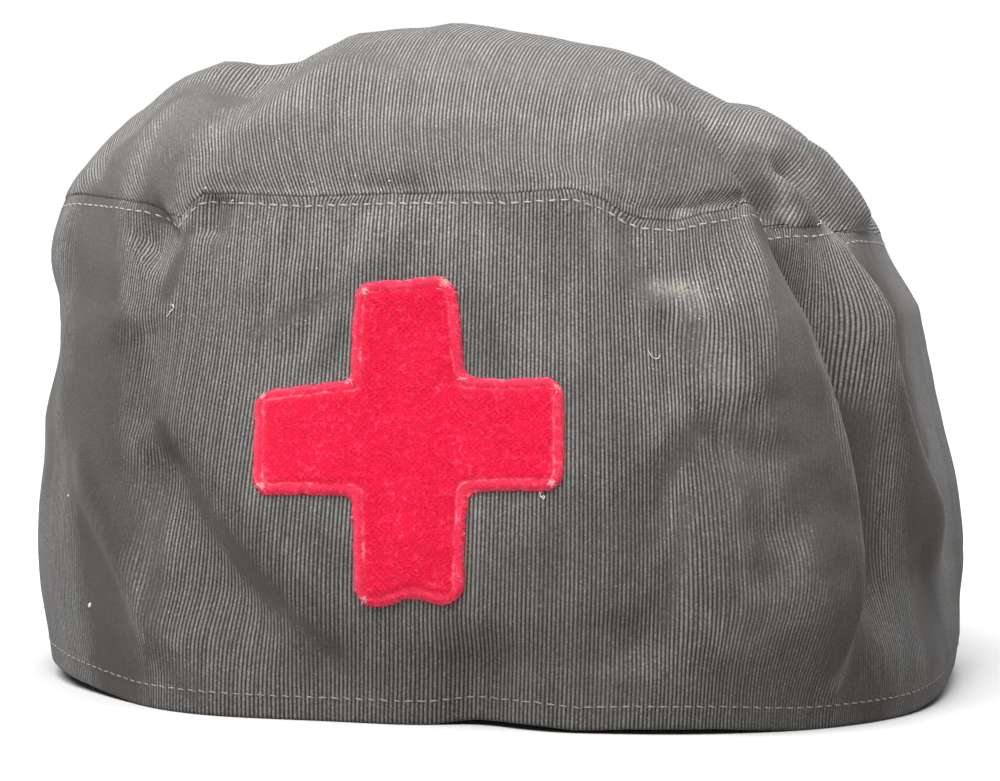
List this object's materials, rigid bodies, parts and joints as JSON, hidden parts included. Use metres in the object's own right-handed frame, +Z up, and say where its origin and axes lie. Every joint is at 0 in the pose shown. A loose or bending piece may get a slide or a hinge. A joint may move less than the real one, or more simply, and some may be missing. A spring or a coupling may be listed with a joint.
{
  "type": "nurse cap",
  "caption": "Soft round cap of grey ribbed cloth with a tall side band, a low domed crown and a red velvet cross on its front, standing on its hem.",
  "frame": {"origin": "on the ground, under the middle of the cap's outer box", "axes": "+Z up towards the crown; -Y towards the wearer's front, where the cross is; +X towards the wearer's left"},
  "size_m": [0.1838, 0.1902, 0.13],
  "materials": {
    "ribbed_cloth": "finely ribbed cotton, dark grey, with a soft sheen",
    "red_velvet": "short red velvet pile, worn pale at the edges"
  },
  "bodies": {
    "root": {"side_band": "ribbed_cloth", "crown": "ribbed_cloth", "cross_patch": "red_velvet"}
  },
  "joints": []
}
